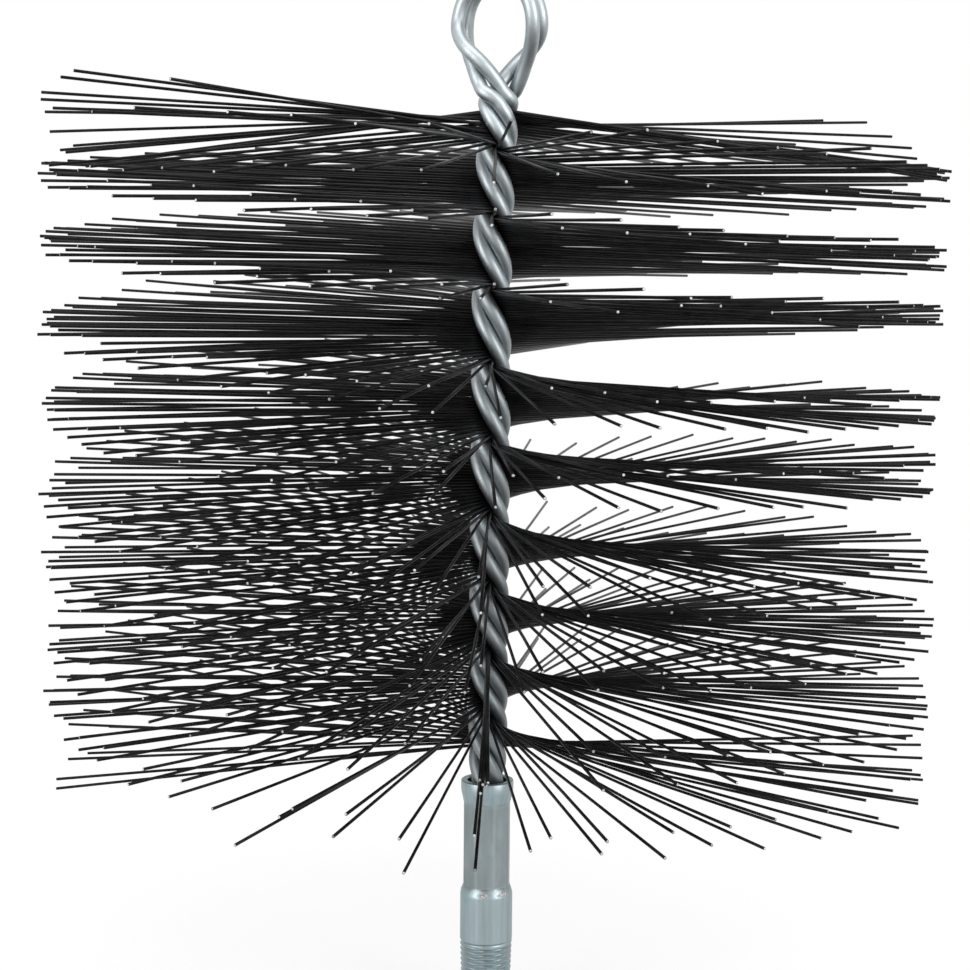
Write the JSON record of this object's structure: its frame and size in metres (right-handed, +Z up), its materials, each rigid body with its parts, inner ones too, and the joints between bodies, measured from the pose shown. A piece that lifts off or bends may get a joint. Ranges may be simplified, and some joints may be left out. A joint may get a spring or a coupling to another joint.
{
  "type": "chimney sweep brush",
  "caption": "Round twisted-wire chimney brush of stiff steel bristles, with a pulling eye at the top and a threaded ferrule for a rod below.",
  "frame": {"origin": "centre of the ferrule's lower end face, where the rod meets the brush", "axes": "+Z runs up the stem from the ferrule to the eye; -Y faces the viewer of the picture; +X is to the viewer's right"},
  "size_m": [0.2271, 0.226, 0.2673],
  "materials": {
    "zinc_plated_steel": "bright zinc plating over rolled tube, faint blue-green tint, crimp marks on the flats",
    "galvanised_wire": "smooth galvanised drawn wire",
    "black_spring_steel": "oil-tempered black spring wire, bare bright metal on the cut ends"
  },
  "bodies": {
    "root": {"threaded_ferrule": "zinc_plated_steel", "stem_wire_front": "galvanised_wire", "stem_wire_back": "galvanised_wire", "bristle_row_01": "black_spring_steel", "bristle_row_02": "black_spring_steel", "bristle_row_03": "black_spring_steel", "bristle_row_04": "black_spring_steel", "bristle_row_05": "black_spring_steel", "bristle_row_06": "black_spring_steel", "bristle_row_07": "black_spring_steel", "bristle_row_08": "black_spring_steel", "bristle_row_09": "black_spring_steel", "bristle_row_10": "black_spring_steel", "bristle_row_11": "black_spring_steel", "bristle_row_12": "black_spring_steel", "bristle_row_13": "black_spring_steel", "bristle_row_14": "black_spring_steel", "bristle_row_15": "black_spring_steel", "bristle_row_16": "black_spring_steel", "bristle_row_17": "black_spring_steel", "bristle_row_18": "black_spring_steel"}
  },
  "joints": []
}
